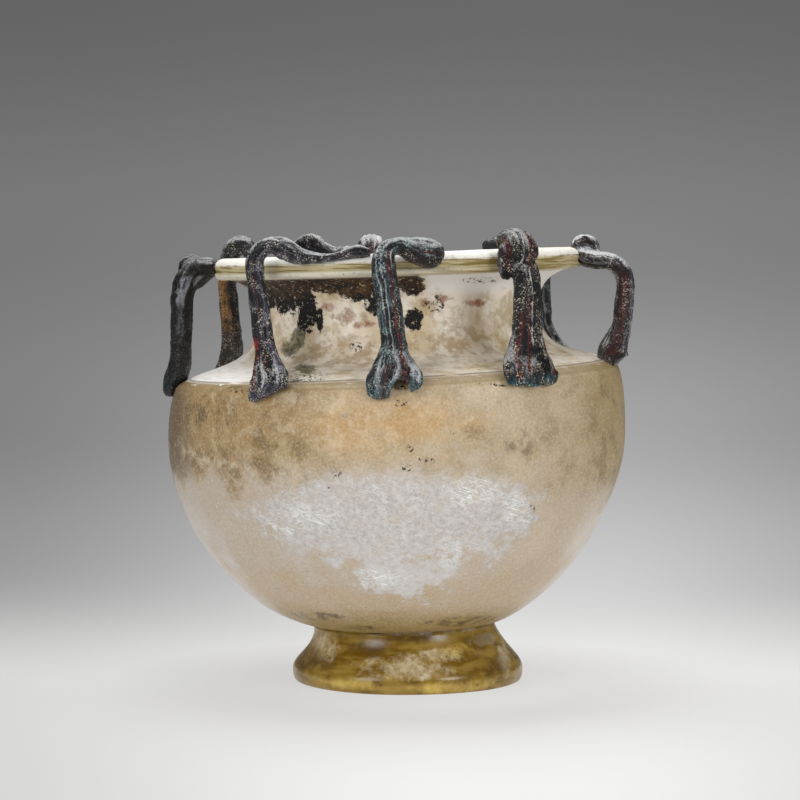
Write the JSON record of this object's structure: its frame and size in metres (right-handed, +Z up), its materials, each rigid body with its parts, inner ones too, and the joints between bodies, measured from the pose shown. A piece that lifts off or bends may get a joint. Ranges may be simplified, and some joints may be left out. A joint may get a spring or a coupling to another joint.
{
  "type": "many-handled glass vessel",
  "caption": "Late-Roman style blown glass bowl with a splayed foot, short neck, flared folded rim and dark trailed handles from shoulder to rim.",
  "frame": {"origin": "on the resting plane, under the centre of the bounding box of the whole vessel", "axes": "+Z up through the mouth, -Y the front as the vessel is pictured, +X to the viewer's right when it is seen from the front"},
  "size_m": [0.114, 0.113, 0.1098],
  "materials": {
    "vessel_glass": "weathered, satin, with flaking white and brown crust",
    "foot_glass": "glossy olive-amber with a thin milky film",
    "handle_glass": "glossy, nearly black with drawn-out red and teal streaks"
  },
  "bodies": {
    "root": {"vessel_body": "vessel_glass", "foot_ring": "foot_glass", "handle_front_center": "handle_glass", "handle_front_left": "handle_glass", "handle_front_right": "handle_glass", "handle_right": "handle_glass", "handle_back_right": "handle_glass", "handle_back_center": "handle_glass", "handle_back_left": "handle_glass", "handle_left": "handle_glass"}
  },
  "joints": []
}
